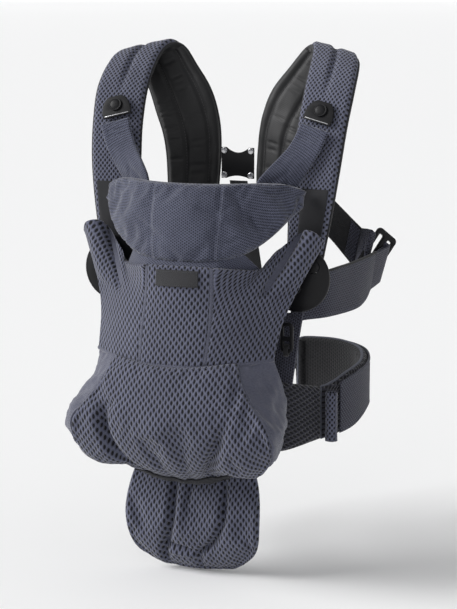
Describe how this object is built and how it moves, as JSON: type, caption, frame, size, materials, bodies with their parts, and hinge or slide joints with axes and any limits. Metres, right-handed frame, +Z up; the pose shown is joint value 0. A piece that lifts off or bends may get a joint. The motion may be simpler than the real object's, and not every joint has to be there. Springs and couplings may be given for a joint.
{
  "type": "soft baby carrier",
  "caption": "Front-worn soft baby carrier: padded mesh panel and seat pouch, fold-down head support, quilted shoulder straps, side buckles, waist belt and leg flap.",
  "frame": {"origin": "on the wearer's torso axis, at mid-height of the waist belt", "axes": "+Z up along the wearer's torso, -Y out of the baby's side, +X across the carrier"},
  "size_m": [0.335, 0.3287, 0.595],
  "materials": {
    "panel_mesh": "coarse open spacer mesh, matt",
    "strap_mesh": "fine open spacer mesh, matt",
    "belt_mesh": "coarse diagonal spacer mesh, matt",
    "jersey": "soft brushed knit",
    "ribbed_band": "ribbed knit band",
    "quilted_lining": "quilted woven lining with piped edge",
    "belt_lining": "honeycomb mesh lining",
    "black_webbing": "woven webbing",
    "label": "plain woven label",
    "foam": "open-cell foam core",
    "gloss_plastic": "smooth moulded nylon",
    "matte_plastic": "fine-textured moulded nylon",
    "rivet_metal": "nickel-plated eyelets"
  },
  "bodies": {
    "harness": {"shoulder_strap_cover_right": "strap_mesh", "shoulder_strap_foam_right": "foam", "shoulder_strap_lining_right": "quilted_lining", "snap_stud_right": "gloss_plastic", "side_buckle_disc_right": "gloss_plastic", "side_strap_right": "ribbed_band", "side_band_right": "black_webbing", "side_riser_right": "belt_mesh", "belt_keeper_right": "belt_mesh", "shoulder_strap_cover_left": "strap_mesh", "shoulder_strap_foam_left": "foam", "shoulder_strap_lining_left": "quilted_lining", "snap_stud_left": "gloss_plastic", "side_buckle_disc_left": "gloss_plastic", "side_strap_left": "ribbed_band", "side_band_left": "black_webbing", "side_riser_left": "belt_mesh", "belt_keeper_left": "belt_mesh", "neck_coupler": "matte_plastic", "coupler_rivet_low_left": "rivet_metal", "coupler_rivet_top_left": "rivet_metal", "coupler_rivet_low_right": "rivet_metal", "coupler_rivet_top_right": "rivet_metal", "belt_front_pad": "belt_mesh", "belt_side_cover_right": "belt_mesh", "belt_side_lining_right": "belt_lining", "belt_band_right": "ribbed_band", "belt_side_cover_left": "belt_mesh", "belt_side_lining_left": "belt_lining", "belt_band_left": "ribbed_band", "waist_buckle_socket": "matte_plastic", "waist_webbing_right": "black_webbing", "waist_webbing_left": "black_webbing", "back_webbing": "black_webbing"},
    "front_panel": {"front_panel_centre": "panel_mesh", "front_panel_wing_left": "panel_mesh", "front_panel_wing_right": "panel_mesh", "panel_label": "label", "seat_pouch": "panel_mesh", "seat_edge_trim": "black_webbing", "seat_gusset_right": "jersey", "wing_tongue_right": "matte_plastic", "seat_gusset_left": "jersey", "wing_tongue_left": "matte_plastic"},
    "head_support": {"head_support_strap_right": "jersey", "head_support_strap_left": "jersey", "head_support_cushion": "jersey"},
    "snap_left": {"snap_tab_left": "gloss_plastic", "snap_cap_left": "gloss_plastic"},
    "snap_right": {"snap_tab_right": "gloss_plastic", "snap_cap_right": "gloss_plastic"},
    "leg_flap": {"leg_flap": "panel_mesh"},
    "buckle_button_left": {"side_buckle_button_left": "gloss_plastic"},
    "buckle_button_right": {"side_buckle_button_right": "gloss_plastic"},
    "slider_left": {"strap_slider_left": "matte_plastic"},
    "slider_right": {"strap_slider_right": "matte_plastic"},
    "leg_clip_left": {"leg_clip_left": "gloss_plastic"},
    "leg_clip_right": {"leg_clip_right": "gloss_plastic"},
    "waist_tongue": {"waist_buckle_tongue": "matte_plastic"}
  },
  "joints": [
    {"name": "panel_drop", "type": "hinge", "parent": "harness", "child": "front_panel", "pos_m": [0, -0.141, -0.08], "axis": [1, 0, 0], "range_deg": [0, 85]},
    {"name": "head_support_fold", "type": "hinge", "parent": "front_panel", "child": "head_support", "pos_m": [0, -0.186, 0.166], "axis": [1, 0, 0], "range_deg": [0, 165]},
    {"name": "flap_swing", "type": "hinge", "parent": "harness", "child": "leg_flap", "pos_m": [0, -0.121, -0.049], "axis": [1, 0, 0], "range_deg": [0, 25]},
    {"name": "waist_buckle_pull", "type": "slide", "parent": "harness", "child": "waist_tongue", "axis": [-1, 0, 0], "range_m": [0, 0.024]},
    {"name": "snap_tab_follow_left", "type": "slide", "parent": "head_support", "child": "snap_left", "axis": [0, -1, 0], "range_m": [0, 0.087]},
    {"name": "buckle_button_press_left", "type": "slide", "parent": "harness", "child": "buckle_button_left", "axis": [0, 1, 0], "range_m": [0, 0.0025], "stiffness_N_per_m": 600},
    {"name": "slider_tilt_left", "type": "hinge", "parent": "harness", "child": "slider_left", "pos_m": [-0.147, 0.077, 0.15], "axis": [-0.2009, 0.221, 0.9544], "range_deg": [-20, 0]},
    {"name": "leg_clip_swing_left", "type": "hinge", "parent": "harness", "child": "leg_clip_left", "pos_m": [-0.106, -0.118, 0.099], "axis": [1, 0, 0], "range_deg": [-25, 10]},
    {"name": "snap_tab_follow_right", "type": "slide", "parent": "head_support", "child": "snap_right", "axis": [0, -1, 0], "range_m": [0, 0.087]},
    {"name": "buckle_button_press_right", "type": "slide", "parent": "harness", "child": "buckle_button_right", "axis": [0, 1, 0], "range_m": [0, 0.0025], "stiffness_N_per_m": 600},
    {"name": "slider_tilt_right", "type": "hinge", "parent": "harness", "child": "slider_right", "pos_m": [0.147, 0.077, 0.15], "axis": [0.2009, 0.221, 0.9544], "range_deg": [0, 20]},
    {"name": "leg_clip_swing_right", "type": "hinge", "parent": "harness", "child": "leg_clip_right", "pos_m": [0.106, -0.118, 0.099], "axis": [1, 0, 0], "range_deg": [-25, 10]}
  ],
  "couplings": [
    {"joint": "snap_tab_follow_left", "follows": "head_support_fold", "m_per_rad": 0.03021},
    {"joint": "snap_tab_follow_right", "follows": "head_support_fold", "m_per_rad": 0.03021}
  ]
}
